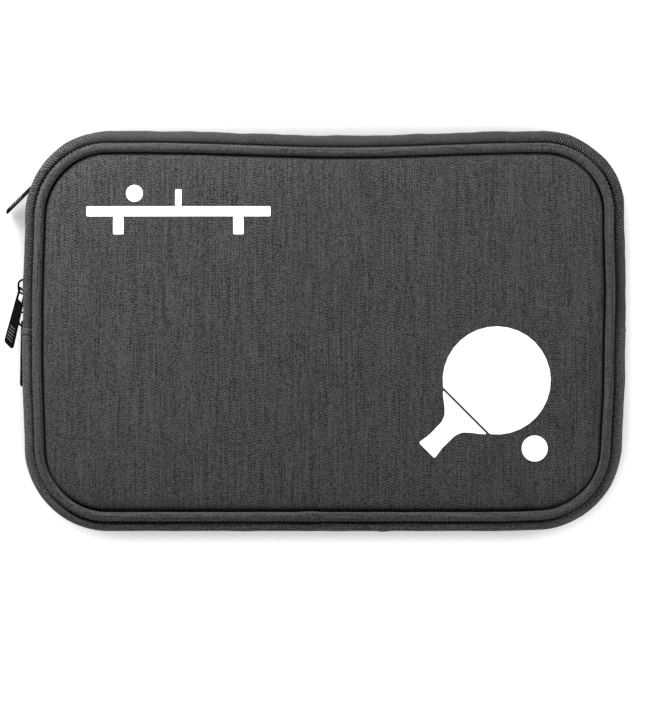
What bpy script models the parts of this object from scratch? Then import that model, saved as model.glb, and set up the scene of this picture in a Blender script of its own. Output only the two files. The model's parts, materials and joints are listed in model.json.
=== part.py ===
"""A padded, two-compartment zip case for table-tennis paddles, lying on its back.

+X runs along the case's width, +Y towards its zipped top edge and +Z out of its printed front.
The origin is the centre of the flat back face. Every outline of the case is a rounded rectangle
round the same four corner centres, so an outline is given by its reach beyond those centres.
"""

import math

import bpy
from mathutils import Matrix, Vector

MM = 0.001
GAP = 0.3 * MM

# Corner centres of every outline, and how far each outline reaches beyond them.
CORNER_X = 109.2 * MM
CORNER_Y = 57.9 * MM
CORNER_STEPS = 9
PANEL_REACH = 31.3 * MM
LINING_REACH = 30.3 * MM
PIPING_REACH = 34.2 * MM
DIVIDER_REACH = 36.4 * MM
WELT_REACH = 38.6 * MM
WALL_REACH = 38.8 * MM
REAR_WALL_REACH = 37.0 * MM

# Layers from the back face upwards.
COVER_THICK = 0.8 * MM
FOAM_THICK = 4.0 * MM
LINING_THICK = 0.5 * MM
BOARD_THICK = 2.0 * MM
PIPING_RADIUS = 2.5 * MM
WELT_RADIUS = 1.5 * MM
DIVIDER_Z = 18.4 * MM
REAR_ZIP_Z = 11.0 * MM
MAIN_ZIP_Z = 33.4 * MM
FRONT_LINING_Z = 45.2 * MM

# The padded front folds back along this line, just above the parked zip sliders.
FOLD_Y = 28.0 * MM
BEND_LOW_Y = FOLD_Y - 1.0 * MM
BEND_HIGH_Y = FOLD_Y + 16.0 * MM

# Zips: tape, the two halves of the coil, and the ends of each chain.
TAPE_THICK = 0.6 * MM
COIL_NEAR = 0.8 * MM
COIL_FAR = 3.4 * MM
COIL_LOW = 0.6 * MM
COIL_HIGH = 1.9 * MM
REAR_ZIP_END_ANGLE = math.radians(10)
TAB_LENGTH = 5.0 * MM

# Sliders and pulls.
SLIDER_LENGTH = 11.0 * MM
SLIDER_HALF_WIDTH = 4.2 * MM
CROWN_RADIUS = 0.45 * MM
CROWN_HALF_LENGTH = 3.4 * MM
CROWN_TOP = 7.3 * MM
PIVOT_OUT = 5.3 * MM
PIVOT_DOWN = 1.6 * MM
PULL_LENGTH = 32.6 * MM
PULL_THICK = 0.9 * MM
UPPER_SLIDER_Y = 22.3 * MM
LOWER_SLIDER_Y = 5.9 * MM
REAR_SLIDER_ANGLE = math.radians(41)
# How each pull hangs: degrees outward, drooping and twisted about its own length.
UPPER_HANG = (16, 26, 38)
LOWER_HANG = (2, 8, 13)
REAR_HANG = (5.5, 8, 16)

BLACK_METAL = ("black_metal", (0.02, 0.02, 0.022), 0.35, 0.9)
GREY_FABRIC = ("grey_fabric", (0.075, 0.075, 0.08), 0.9, 0.0)
GREY_TAPE = ("grey_tape", (0.06, 0.06, 0.062), 0.85, 0.0)
BLACK_NYLON = ("black_nylon", (0.02, 0.02, 0.02), 0.5, 0.0)
BLACK_LINING = ("black_lining", (0.03, 0.03, 0.032), 0.8, 0.0)
BLACK_MESH = ("black_mesh", (0.025, 0.025, 0.027), 0.8, 0.0)
GREY_FOAM = ("grey_foam", (0.35, 0.35, 0.36), 0.95, 0.0)
GREY_BOARD = ("grey_board", (0.2, 0.2, 0.2), 0.8, 0.0)
WHITE_PRINT = ("white_print", (0.9, 0.9, 0.9), 0.5, 0.0)


def clear_scene():
    for obj in list(bpy.data.objects):
        bpy.data.objects.remove(obj)


def new_collection(name):
    collection = bpy.data.collections.new(name)
    bpy.context.scene.collection.children.link(collection)
    return collection


def material_of(finish):
    name, colour, roughness, metallic = finish
    material = bpy.data.materials.get(name)
    if material is None:
        material = bpy.data.materials.new(name)
        material.use_nodes = True
        shader = material.node_tree.nodes["Principled BSDF"]
        shader.inputs["Base Color"].default_value = (*colour, 1.0)
        shader.inputs["Roughness"].default_value = roughness
        shader.inputs["Metallic"].default_value = metallic
    return material


def add_object(name, data, finish, collection):
    obj = bpy.data.objects.new(name, data)
    collection.objects.link(obj)
    data.materials.append(material_of(finish))
    return obj


def corner(reach, x_side, y_side, start, end):
    """Points of one corner's arc. Angle 0 is on the case's side, 90 degrees on its top or bottom edge."""
    points = []
    for step in range(CORNER_STEPS + 1):
        angle = start + (end - start) * step / CORNER_STEPS
        x = x_side * (CORNER_X + reach * math.cos(angle))
        y = y_side * (CORNER_Y + reach * math.sin(angle))
        points.append((x, y))
    return points


def run_over(reach, y_side, end_y=None, end_angle=0.0):
    """An open run over the top (y_side 1) or bottom edge, from the left side to the right side."""
    quarter = math.pi / 2
    points = corner(reach, -1, y_side, end_angle, quarter)
    points += corner(reach, 1, y_side, quarter, end_angle)
    if end_y is not None:
        side_x = CORNER_X + reach
        points = [(-side_x, end_y)] + points + [(side_x, end_y)]
    return points


def full_ring(reach):
    quarter = math.pi / 2
    points = corner(reach, -1, 1, 0, quarter) + corner(reach, 1, 1, quarter, 0)
    return points + corner(reach, 1, -1, 0, quarter) + corner(reach, -1, -1, quarter, 0)


def outline_below(reach, top_y):
    return run_over(reach, -1, top_y)


def outline_above(reach, bottom_y):
    return run_over(reach, 1, bottom_y)


def poly_curve(name, splines, cyclic, dimensions):
    curve = bpy.data.curves.new(name, "CURVE")
    curve.dimensions = dimensions
    for points in splines:
        spline = curve.splines.new("POLY")
        spline.points.add(len(points) - 1)
        for point, position in zip(spline.points, points):
            point.co = (*position, 0.0, 1.0) if len(position) == 2 else (*position, 1.0)
        spline.use_cyclic_u = cyclic
    return curve


def flat_panel(name, outlines, low_z, thick, finish, collection):
    """A flat sheet between its outline and any window outlines after it, from low_z upwards."""
    curve = poly_curve(name, outlines, True, "2D")
    curve.fill_mode = "BOTH"
    curve.extrude = thick / 2
    obj = add_object(name, curve, finish, collection)
    obj.location.z = low_z + thick / 2
    return obj


def tube(name, points, z, radius, cyclic, finish, collection):
    curve = poly_curve(name, [[(x, y, z) for x, y in points]], cyclic, "3D")
    curve.fill_mode = "FULL"
    curve.bevel_depth = radius
    curve.bevel_resolution = 2
    curve.use_fill_caps = not cyclic
    return add_object(name, curve, finish, collection)


def strip_profile(line, thick):
    """A closed band of this thickness along a line of (outward, upward) points."""
    inner, outer = [], []
    for i, point in enumerate(line):
        before = Vector(line[max(i - 1, 0)])
        after = Vector(line[min(i + 1, len(line) - 1)])
        along = (after - before).normalized()
        side = Vector((along.y, -along.x)) * thick / 2
        inner.append(Vector(point) - side)
        outer.append(Vector(point) + side)
    return outer + inner[::-1]


def sweep(name, points, z, profile, finish, collection, cutters):
    """A profile of (outward, upward) points swept along an open run at height z."""
    curve = poly_curve(name, [[(x, y, z) for x, y in points]], False, "3D")
    curve.twist_mode = "Z_UP"
    curve.fill_mode = "FULL"
    section = poly_curve(name + "_section", [[(-out, up) for out, up in profile]], True, "2D")
    guide = bpy.data.objects.new(name + "_section", section)
    guide.hide_render = True
    guide.display_type = "WIRE"
    cutters.objects.link(guide)
    curve.bevel_mode = "OBJECT"
    curve.bevel_object = guide
    curve.use_fill_caps = True
    return add_object(name, curve, finish, collection)


def box_mesh(name, low, high):
    bpy.ops.mesh.primitive_cube_add(size=1)
    obj = bpy.context.object
    obj.name = name
    low, high = Vector(low), Vector(high)
    obj.data.transform(Matrix.LocRotScale((low + high) / 2, None, high - low))
    return obj


def as_mesh(obj, collection):
    """A curve object as a welded mesh object of the same name."""
    bpy.context.view_layer.update()
    graph = bpy.context.evaluated_depsgraph_get()
    mesh = bpy.data.meshes.new_from_object(obj.evaluated_get(graph))
    made = bpy.data.objects.new(obj.name, mesh)
    made.matrix_world = obj.matrix_world
    bpy.data.objects.remove(obj)
    collection.objects.link(made)
    weld = made.modifiers.new("weld", "WELD")
    weld.merge_threshold = 0.01 * MM
    return made


def join_into(body, others, cutters):
    for other in others:
        for collection in list(other.users_collection):
            collection.objects.unlink(other)
        cutters.objects.link(other)
        other.hide_render = True
        other.display_type = "WIRE"
        union = body.modifiers.new("join_" + other.name, "BOOLEAN")
        union.operation = "UNION"
        union.object = other


def move_to(obj, collection):
    for old in list(obj.users_collection):
        old.objects.unlink(obj)
    collection.objects.link(obj)


def tape_line(points, zip_z):
    """Tape line from (distance out of the wall, height) pairs to (outward, upward) of the zip line."""
    return [(out * MM, z * MM - zip_z) for out, z in points]


def zip_frame(along, out, place):
    """World matrix of a slider: X across the chain, Y along it, Z out of the tape."""
    across = Vector((0, 0, 1))
    matrix = Matrix((across, along, out)).transposed().to_4x4()
    matrix.translation = place
    return matrix


def left_side_frame(y, z):
    """Place on the left side of the main zip."""
    place = Vector((-(CORNER_X + WALL_REACH), y, z))
    return zip_frame(Vector((0, 1, 0)), Vector((-1, 0, 0)), place)


def left_corner_frame(angle, z):
    """Place on the rear zip's rounded top left corner."""
    out = Vector((-math.cos(angle), math.sin(angle), 0))
    along = Vector((math.sin(angle), math.cos(angle), 0))
    place = Vector((-CORNER_X, CORNER_Y, z)) + out * REAR_WALL_REACH
    return zip_frame(along, out, place)


def build_panels(case):
    """The flat layers: back, divider and the two halves of the padded front."""
    flat_panel("rear_cover", [full_ring(PANEL_REACH)], 0.0, COVER_THICK, GREY_FABRIC, case)
    rear_foam_z = COVER_THICK + GAP
    rear_foam_thick = FOAM_THICK - 0.5 * MM
    flat_panel("rear_foam", [full_ring(LINING_REACH)], rear_foam_z, rear_foam_thick, GREY_FOAM, case)
    rear_lining_z = rear_foam_z + rear_foam_thick + GAP
    flat_panel("rear_lining", [full_ring(LINING_REACH)], rear_lining_z, LINING_THICK, BLACK_LINING, case)

    flat_panel("divider_board", [full_ring(DIVIDER_REACH)], DIVIDER_Z, BOARD_THICK, GREY_BOARD, case)
    low_z = DIVIDER_Z - GAP - LINING_THICK
    high_z = DIVIDER_Z + BOARD_THICK + GAP
    flat_panel("divider_lining_rear", [full_ring(DIVIDER_REACH)], low_z, LINING_THICK, BLACK_LINING, case)
    flat_panel("divider_lining_front", [full_ring(DIVIDER_REACH)], high_z, LINING_THICK, BLACK_LINING, case)

    foam_z = FRONT_LINING_Z + LINING_THICK + GAP
    cover_z = foam_z + FOAM_THICK + GAP
    layers = (
        ("front_lining", LINING_REACH, FRONT_LINING_Z, LINING_THICK, BLACK_LINING),
        ("front_foam", LINING_REACH, foam_z, FOAM_THICK, GREY_FOAM),
        ("front_cover", PANEL_REACH, cover_z, COVER_THICK, GREY_FABRIC),
    )
    for name, reach, z, thick, finish in layers:
        flat_panel(name + "_lower", [outline_below(reach, BEND_LOW_Y)], z, thick, finish, case)
        flat_panel(name + "_upper", [outline_above(reach, BEND_HIGH_Y)], z, thick, finish, case)
    half_x = CORNER_X + LINING_REACH
    bend = [
        (-half_x, BEND_LOW_Y + GAP),
        (half_x, BEND_LOW_Y + GAP),
        (half_x, BEND_HIGH_Y - GAP),
        (-half_x, BEND_HIGH_Y - GAP),
    ]
    bend_thick = cover_z + COVER_THICK - FRONT_LINING_Z
    flat_panel("front_panel_bend", [bend], FRONT_LINING_Z, bend_thick, GREY_FABRIC, case)
    return cover_z + COVER_THICK


def build_piping(case):
    front_z = FRONT_LINING_Z + 2.8 * MM
    rear_z = PIPING_RADIUS + 0.8 * MM
    ring = full_ring(PIPING_REACH)
    tube("rear_piping", ring, rear_z, PIPING_RADIUS, True, GREY_FABRIC, case)
    welt_z = DIVIDER_Z + BOARD_THICK / 2
    tube("middle_piping", full_ring(WELT_REACH), welt_z, WELT_RADIUS, True, GREY_FABRIC, case)
    lower = run_over(PIPING_REACH, -1, BEND_LOW_Y)
    upper = run_over(PIPING_REACH, 1, BEND_HIGH_Y)
    tube("front_piping_lower", lower, front_z, PIPING_RADIUS, False, GREY_FABRIC, case)
    tube("front_piping_upper", upper, front_z, PIPING_RADIUS, False, GREY_FABRIC, case)
    for side, name in ((-1, "left"), (1, "right")):
        x = side * (CORNER_X + PIPING_REACH)
        line = [(x, BEND_LOW_Y + GAP), (x, BEND_HIGH_Y - GAP)]
        tube("front_piping_bend_" + name, line, front_z, PIPING_RADIUS, False, GREY_FABRIC, case)


def coil_profile(side):
    """One half of the coil: a bar beside the zip line, on the tape's outer face."""
    low, high = sorted((side * COIL_NEAR, side * COIL_FAR))
    return [(COIL_LOW, low), (COIL_HIGH, low), (COIL_HIGH, high), (COIL_LOW, high)]


def tape_profile(line, zip_z):
    return strip_profile(tape_line(line, zip_z), TAPE_THICK)


def build_walls(case, cutters):
    """Zip tapes, coils, and the plain gussets that close the walls below the zips."""
    # Each line is (millimetres out of the wall line, height in millimetres), from the zip line outwards.
    main_front = [(0, 34.2), (0, 38.8), (1.2, 39.8), (2.9, 41.2)]
    main_front += [(3.5, 43.2), (2.7, 45.4), (0.8, 46.7), (-1.9, 46.9)]
    main_rear = [(0, 32.6), (0, 28.2), (1.3, 26.9), (2.6, 25.2), (2.8, 23.4), (1.5, 21.9), (-0.9, 21.4)]
    rear_front = [(0, 11.8), (0, 15.8), (-0.3, 16.6), (-0.9, 16.95)]
    rear_rear = [(0, 10.2), (0, 7.2), (-0.3, 6.4), (-0.9, 5.9)]
    start = GAP
    whole = run_over(WALL_REACH, 1, start)
    flap = run_over(WALL_REACH, 1, BEND_HIGH_Y)
    rear_run = run_over(REAR_WALL_REACH, 1, end_angle=REAR_ZIP_END_ANGLE)
    front_tape = tape_profile(main_front, MAIN_ZIP_Z)
    sweep("main_zip_front_tape", flap, MAIN_ZIP_Z, front_tape, GREY_TAPE, case, cutters)
    sweep("main_zip_front_coil", flap, MAIN_ZIP_Z, coil_profile(1), BLACK_NYLON, case, cutters)
    rear_tape = tape_profile(main_rear, MAIN_ZIP_Z)
    sweep("main_zip_rear_tape", whole, MAIN_ZIP_Z, rear_tape, GREY_TAPE, case, cutters)
    sweep("main_zip_rear_coil", whole, MAIN_ZIP_Z, coil_profile(-1), BLACK_NYLON, case, cutters)
    for side, name in ((-1, "left"), (1, "right")):
        x = side * (CORNER_X + WALL_REACH)
        line = [(x, start), (x, BEND_HIGH_Y - GAP)]
        if side > 0:
            line.reverse()
        sweep("main_zip_tape_bend_" + name, line, MAIN_ZIP_Z, front_tape, GREY_TAPE, case, cutters)
        sweep("main_zip_coil_bend_" + name, line, MAIN_ZIP_Z, coil_profile(1), BLACK_NYLON, case, cutters)

    pocket_front = tape_profile(rear_front, REAR_ZIP_Z)
    pocket_rear = tape_profile(rear_rear, REAR_ZIP_Z)
    sweep("rear_zip_front_tape", rear_run, REAR_ZIP_Z, pocket_front, GREY_TAPE, case, cutters)
    sweep("rear_zip_front_coil", rear_run, REAR_ZIP_Z, coil_profile(1), BLACK_NYLON, case, cutters)
    sweep("rear_zip_rear_tape", rear_run, REAR_ZIP_Z, pocket_rear, GREY_TAPE, case, cutters)
    sweep("rear_zip_rear_coil", rear_run, REAR_ZIP_Z, coil_profile(-1), BLACK_NYLON, case, cutters)

    gusset = [(-1.9, 46.9), (1.1, 46.5), (2.9, 44.4), (3.5, 41.0)]
    gusset += [(3.6, 34.0), (3.4, 27.0), (2.1, 23.0), (-0.9, 21.4)]
    wall = tape_profile(gusset[::-1], MAIN_ZIP_Z)
    below = run_over(WALL_REACH, -1, -GAP)[::-1]
    sweep("main_gusset", below, MAIN_ZIP_Z, wall, GREY_FABRIC, case, cutters)
    pocket_gusset = [(-0.9, 16.95), (0.6, 16.4), (1.0, 11.0), (0.6, 6.6), (-0.9, 5.9)]
    pocket_wall = tape_profile(pocket_gusset[::-1], REAR_ZIP_Z)
    quarter = math.pi / 2
    reach = REAR_WALL_REACH
    end = REAR_ZIP_END_ANGLE - 2 * GAP / reach
    stub = [(CORNER_X + reach * math.cos(end), CORNER_Y + reach * math.sin(end))]
    stub += [(CORNER_X + reach, CORNER_Y)]
    bottom = corner(reach, 1, -1, 0, quarter) + corner(reach, -1, -1, quarter, 0)
    pocket_run = stub + bottom + [(-x, y) for x, y in stub[::-1]]
    sweep("rear_gusset", pocket_run, REAR_ZIP_Z, pocket_wall, GREY_FABRIC, case, cutters)


def build_zip_ends(case):
    """Folded fabric tabs sewn inside each end of both chains."""
    thick = 0.8 * MM
    # (zip, wall line, height of the zip line, half height of the tab, low and high end)
    zips = (
        ("main", WALL_REACH, MAIN_ZIP_Z, 5 * MM, -2 * TAB_LENGTH, GAP),
        ("rear", REAR_WALL_REACH, REAR_ZIP_Z, 4 * MM, CORNER_Y - 2 * TAB_LENGTH, CORNER_Y),
    )
    for zip_name, reach, zip_z, half_height, low_y, high_y in zips:
        inner = CORNER_X + reach - TAPE_THICK / 2 - GAP
        for side, word in ((-1, "left"), (1, "right")):
            near, far = sorted((side * (inner - thick), side * inner))
            low = (near, low_y, zip_z - half_height)
            high = (far, high_y, zip_z + half_height)
            tab = box_mesh("{}_zip_end_{}".format(zip_name, word), low, high)
            move_to(tab, case)
            tab.data.materials.append(material_of(BLACK_LINING))


def build_pocket(case):
    """The mesh pocket and its elastic hem on the divider, inside the main compartment."""
    half_x = 100 * MM
    z = DIVIDER_Z + BOARD_THICK + LINING_THICK + 2 * GAP
    hem_y = 52 * MM
    hem_height = 9 * MM
    bottom_y = -80 * MM
    net = [(-half_x, bottom_y), (half_x, bottom_y), (half_x, hem_y), (-half_x, hem_y)]
    flat_panel("mesh_pocket", [net], z, 0.8 * MM, BLACK_MESH, case)
    hem_x = half_x + 2 * MM
    low_y = hem_y + GAP
    high_y = low_y + hem_height
    hem = [(-hem_x, low_y), (hem_x, low_y), (hem_x, high_y), (-hem_x, high_y)]
    flat_panel("mesh_pocket_hem", [hem], z, 1.2 * MM, BLACK_LINING, case)


def build_slider(name, frame, case, cutters):
    """A zip slider: outer plate with side flanges, post, inner plate and the bridge for the pull."""
    half = SLIDER_LENGTH / 2
    wide = SLIDER_HALF_WIDTH
    lip = 0.8 * MM
    plate_low, plate_high = COIL_HIGH + 0.35 * MM, 2.9 * MM
    flange_low = 0.75 * MM
    inner_low, inner_high = -2.2 * MM, -1.0 * MM
    body = box_mesh(name, (-wide, -half, plate_low), (wide, half, plate_high))
    over = 0.2 * MM
    post_half = 0.4 * MM
    post_low = (-post_half, 1.6 * MM, inner_low + over)
    pieces = [
        box_mesh(name + "_back", (-wide, -half + over, inner_low), (wide, half - over, inner_high)),
        box_mesh(name + "_post", post_low, (post_half, half - lip, plate_high - over)),
    ]
    for side, word in ((-1, "_lip_rear"), (1, "_lip_front")):
        near, far = sorted((side * (wide - 0.45 * MM), side * (wide + lip / 2)))
        low = (near, -half + 2 * over, flange_low)
        high = (far, half - 2 * over, plate_high - over)
        pieces.append(box_mesh(name + word, low, high))
    shoulder = CROWN_HALF_LENGTH * 0.75
    arch = [
        (0, -CROWN_HALF_LENGTH, plate_high - 0.4 * MM),
        (0, -CROWN_HALF_LENGTH, CROWN_TOP - 1.4 * MM),
        (0, -shoulder, CROWN_TOP - 0.2 * MM),
        (0, 0, CROWN_TOP),
        (0, shoulder, CROWN_TOP - 0.2 * MM),
        (0, CROWN_HALF_LENGTH, CROWN_TOP - 1.4 * MM),
        (0, CROWN_HALF_LENGTH, plate_high - 0.4 * MM),
    ]
    curve = poly_curve(name + "_bridge", [arch], False, "3D")
    curve.fill_mode = "FULL"
    curve.bevel_depth = CROWN_RADIUS
    curve.bevel_resolution = 1
    curve.use_fill_caps = True
    bridge = add_object(name + "_bridge", curve, BLACK_METAL, case)
    pieces.append(as_mesh(bridge, case))
    for piece in pieces:
        piece.matrix_world = frame
    body.matrix_world = frame
    body.data.materials.append(material_of(BLACK_METAL))
    move_to(body, case)
    join_into(body, pieces, cutters)


def pull_matrix(frame, outward, droop, twist):
    """The pull's frame: X along its top bar, -Y down its length, placed in the slider's bridge.

    At zero angles the pull lies along the chain. It swings outward about its top bar, droops within
    the plane of the tape, and is twisted about its own length by the play in the bridge.
    """
    pin = frame @ Matrix.Translation((0, -PIVOT_DOWN, PIVOT_OUT))
    lie = Matrix.Rotation(-droop, 4, "Z") @ Matrix.Rotation(-outward, 4, "X")
    return pin @ lie @ Matrix.Rotation(twist, 4, "Y")


def build_pull(name, matrix, case):
    """A flat pull with a window: its top bar is the pin that sits under the slider's bridge."""
    top_half, bottom_half = 2.9 * MM, 4.2 * MM
    bar = PULL_THICK / 2
    end = -PULL_LENGTH
    chamfer = 1.2 * MM
    outer = [
        (-top_half, bar),
        (-bottom_half, end + chamfer),
        (-bottom_half + chamfer, end),
        (bottom_half - chamfer, end),
        (bottom_half, end + chamfer),
        (top_half, bar),
    ]
    window_half = 2.1 * MM
    window_end = -6.0 * MM
    window = [(-window_half, -bar), (window_half, -bar)]
    window += [(window_half, window_end), (-window_half, window_end)]
    pull = flat_panel(name, [outer, window], 0.0, PULL_THICK, BLACK_METAL, case)
    pull.matrix_world = matrix


def build_zip_hardware(case, cutters):
    places = (
        ("upper", left_side_frame(UPPER_SLIDER_Y, MAIN_ZIP_Z), UPPER_HANG),
        ("lower", left_side_frame(LOWER_SLIDER_Y, MAIN_ZIP_Z), LOWER_HANG),
        ("rear", left_corner_frame(REAR_SLIDER_ANGLE, REAR_ZIP_Z), REAR_HANG),
    )
    for name, frame, hang in places:
        build_slider("slider_" + name, frame, case, cutters)
        angles = [math.radians(angle) for angle in hang]
        build_pull("pull_" + name, pull_matrix(frame, *angles), case)


def circle(centre, radius, steps=28):
    turn = 2 * math.pi / steps
    return [
        (centre[0] + radius * math.cos(i * turn), centre[1] + radius * math.sin(i * turn))
        for i in range(steps)
    ]


def build_prints(top_z, case):
    """White prints: a table with its net and a ball above, and a paddle with its ball below."""
    z = top_z + GAP
    thick = 0.3 * MM
    half_table, top_low, top_high = 46 * MM, 57 * MM, 62 * MM
    table_x, leg_low, net_high = -73 * MM, 48 * MM, 70.5 * MM
    leg_half, net_half, leg_x = 2.6 * MM, 1.6 * MM, 30 * MM
    blocks = (
        ("print_table_top", table_x, half_table, top_low, top_high),
        ("print_table_leg_left", table_x - leg_x, leg_half, leg_low, top_low - GAP),
        ("print_table_leg_right", table_x + leg_x, leg_half, leg_low, top_low - GAP),
        ("print_table_net", table_x, net_half, top_high + GAP, net_high),
    )
    for name, x, half_x, low, high in blocks:
        block = [(x - half_x, low), (x + half_x, low), (x + half_x, high), (x - half_x, high)]
        flat_panel(name, [block], z, thick, WHITE_PRINT, case)
    ball = circle((table_x - 22 * MM, 68.5 * MM), 4.2 * MM)
    flat_panel("print_table_ball", [ball], z, thick, WHITE_PRINT, case)

    blade_centre = Vector((86 * MM, -25 * MM))
    blade_radius = 27 * MM
    handle_dir = Vector((-1, -1)).normalized()
    across = Vector((-handle_dir.y, handle_dir.x))
    neck = math.radians(38)
    steps = 26
    blade = []
    for i in range(steps + 1):
        angle = neck + (2 * math.pi - 2 * neck) * i / steps
        ray = handle_dir * math.cos(angle) + across * math.sin(angle)
        blade.append(blade_centre + blade_radius * ray)
    flat_panel("print_paddle_blade", [[tuple(p) for p in blade]], z, thick, WHITE_PRINT, case)
    # (distance from the blade's centre, half width) down the handle
    half_handle = [(22.4, 15.6), (24.5, 13.4), (27.5, 9.4), (30.5, 6.2)]
    half_handle += [(34.0, 4.8), (43.0, 4.6), (49.5, 5.6)]
    side = [blade_centre + (handle_dir * far + across * wide) * MM for far, wide in half_handle]
    other = [blade_centre + (handle_dir * far - across * wide) * MM for far, wide in half_handle]
    handle = [tuple(p) for p in side + other[::-1]]
    flat_panel("print_paddle_handle", [handle], z, thick, WHITE_PRINT, case)
    small_ball = circle((105 * MM, -59 * MM), 6.5 * MM)
    flat_panel("print_paddle_ball", [small_ball], z, thick, WHITE_PRINT, case)


def main():
    clear_scene()
    case = new_collection("paddle_case")
    cutters = new_collection("cutters_and_sections")
    top_z = build_panels(case)
    build_piping(case)
    build_walls(case, cutters)
    build_zip_ends(case)
    build_pocket(case)
    build_zip_hardware(case, cutters)
    build_prints(top_z, case)


main()
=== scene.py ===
import json
import math

import bmesh
import bpy
import numpy as np
from mathutils import Matrix, Vector
from mathutils.bvhtree import BVHTree


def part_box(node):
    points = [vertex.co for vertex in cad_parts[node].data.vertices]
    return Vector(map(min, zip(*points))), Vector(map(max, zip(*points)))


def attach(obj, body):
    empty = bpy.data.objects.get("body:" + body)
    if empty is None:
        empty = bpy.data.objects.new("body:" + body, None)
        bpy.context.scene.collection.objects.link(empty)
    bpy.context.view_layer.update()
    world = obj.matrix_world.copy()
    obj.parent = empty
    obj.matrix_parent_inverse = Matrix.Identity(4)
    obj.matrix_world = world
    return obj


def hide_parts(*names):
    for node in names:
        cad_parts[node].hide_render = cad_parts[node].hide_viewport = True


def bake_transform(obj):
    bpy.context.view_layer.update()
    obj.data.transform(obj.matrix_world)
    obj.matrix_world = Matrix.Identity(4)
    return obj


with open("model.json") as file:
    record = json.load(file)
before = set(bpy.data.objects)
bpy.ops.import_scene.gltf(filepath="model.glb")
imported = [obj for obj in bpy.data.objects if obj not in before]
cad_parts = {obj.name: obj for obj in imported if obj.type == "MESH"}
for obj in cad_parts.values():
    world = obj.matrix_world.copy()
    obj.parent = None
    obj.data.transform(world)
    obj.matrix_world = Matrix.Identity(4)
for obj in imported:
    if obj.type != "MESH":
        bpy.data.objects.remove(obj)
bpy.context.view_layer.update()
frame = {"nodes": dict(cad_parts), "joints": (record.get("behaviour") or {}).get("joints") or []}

MM = 0.001

# Centres of the case's rounded corners, and the steps along its sides.
CORNER_X = 109.2 * MM
CORNER_Y = 57.9 * MM
TOP_LEFT, TOP_RIGHT = (-CORNER_X, CORNER_Y), (CORNER_X, CORNER_Y)
FOOT_LEFT, FOOT_RIGHT = (-CORNER_X, -CORNER_Y), (CORNER_X, -CORNER_Y)
SIDE_STEPS = 58
TOP_STEPS = 110
CORNER_STEPS = 22
QUARTER = math.pi / 2

# Reaches of the outlines beyond the corner centres, and heights, read from the frame.
PIPING_LOW, PIPING_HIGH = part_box("front_piping_lower")
PIPING_RADIUS = (PIPING_HIGH.z - PIPING_LOW.z) / 2
PIPING_Z = (PIPING_HIGH.z + PIPING_LOW.z) / 2
CORD_RADIUS = PIPING_RADIUS * 0.88
PIPING_REACH = -PIPING_LOW.x - CORNER_X - PIPING_RADIUS + 0.3 * MM
PANEL_REACH = -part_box("front_cover_lower")[0].x - CORNER_X + 1.0 * MM
COVER_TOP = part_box("front_cover_lower")[1].z
LINING_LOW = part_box("front_lining_lower")[0].z
LINING_REACH = -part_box("front_lining_lower")[0].x - CORNER_X
COIL_OUTER = -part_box("main_zip_rear_coil")[0].x
WALL_REACH = COIL_OUTER - CORNER_X - 1.9 * MM
REAR_WALL_REACH = -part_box("rear_zip_rear_coil")[0].x - CORNER_X - 1.9 * MM
MAIN_ZIP_Z = frame["joints"][0]["pos_m"][2]
REAR_ZIP_Z = (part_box("rear_zip_front_coil")[0].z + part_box("rear_zip_rear_coil")[1].z) / 2

# Where the two zips end, and the foot and head of the main wall.
REAR_ZIP_END = math.radians(10)
TAPE_END_Y = 0.3 * MM
WALL_FOOT = 21.5 * MM
WALL_HEAD = 47 * MM

# Sliders and pulls: where the pin sits on its slider, and how each pull hangs from it at rest,
# in degrees outward from the wall, drooping, and twisted.
REAR_SLIDER_ANGLE = math.radians(41)
PIN_DOWN, PIN_OUT = 1.6 * MM, 5.3 * MM
PLATE_THICK = 0.9 * MM
HANGS = {"upper": (16, 26, 38), "lower": (2, 8, 13), "rear": (5.5, 8, 16)}


# ---- outlines and sweeps

def smooth(value, low, high):
    t = np.clip((np.asarray(value, float) - low) / (high - low), 0, 1)
    return t * t * (3 - 2 * t)


def settle(co):
    """The soft case's own shape: the top edge sags in its middle and the sides swell a little."""
    co = np.array(co, float)
    x, y, z = co[:, 0], co[:, 1], co[:, 2]
    high = smooth(z, 17 * MM, 30 * MM)
    along = np.clip((x - 10 * MM) / (98 * MM), -1, 1)
    sag = 2.3 * MM * np.cos(along * math.pi / 2) ** 2
    new_y = y - sag * smooth(y, 50 * MM, 94 * MM) * high
    pinch = 1.3 * MM * smooth(np.abs(y), 12 * MM, 66 * MM) * smooth(np.abs(x), 90 * MM, 140 * MM)
    right = x > 0
    new_x = x - np.sign(x) * np.where(right, 0.8, 1.0) * pinch * high
    lean = smooth(z, 43 * MM, 46.8 * MM)
    slack = 0.8 * MM * smooth(-y, -25 * MM, 15 * MM) + 0.8 * MM * smooth(-y, 25 * MM, 65 * MM)
    slack = np.where(right, slack - 1.5 * MM * smooth(y, 50 * MM, 85 * MM), 0)
    foot = 0.1 * MM + 0.9 * MM * smooth(x, 85 * MM, 125 * MM)
    co[:, 0] = new_x - slack * smooth(x, 60 * MM, 140 * MM) * high - 0.3 * MM * lean
    co[:, 1] = new_y + foot * smooth(-y, 45 * MM, 92 * MM) * high - 0.9 * MM * lean
    return co


def arc(x_side, y_side, start, end, steps=CORNER_STEPS):
    rows = []
    for i in range(steps + 1):
        a = start + (end - start) * i / steps
        rows.append((x_side * CORNER_X, y_side * CORNER_Y, x_side * math.cos(a), y_side * math.sin(a)))
    return rows


def line(start, end, normal, steps):
    places = [[a + (b - a) * i / steps for a, b in zip(start, end)] for i in range(steps + 1)]
    return [(x, y, *normal) for x, y in places]


def tidy_rows(rows):
    """The rows without those that repeat the one before."""
    kept = [rows[0]]
    for row in rows[1:]:
        if max(abs(a - b) for a, b in zip(row, kept[-1])) > 1e-7:
            kept.append(row)
    return np.array(kept)


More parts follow.
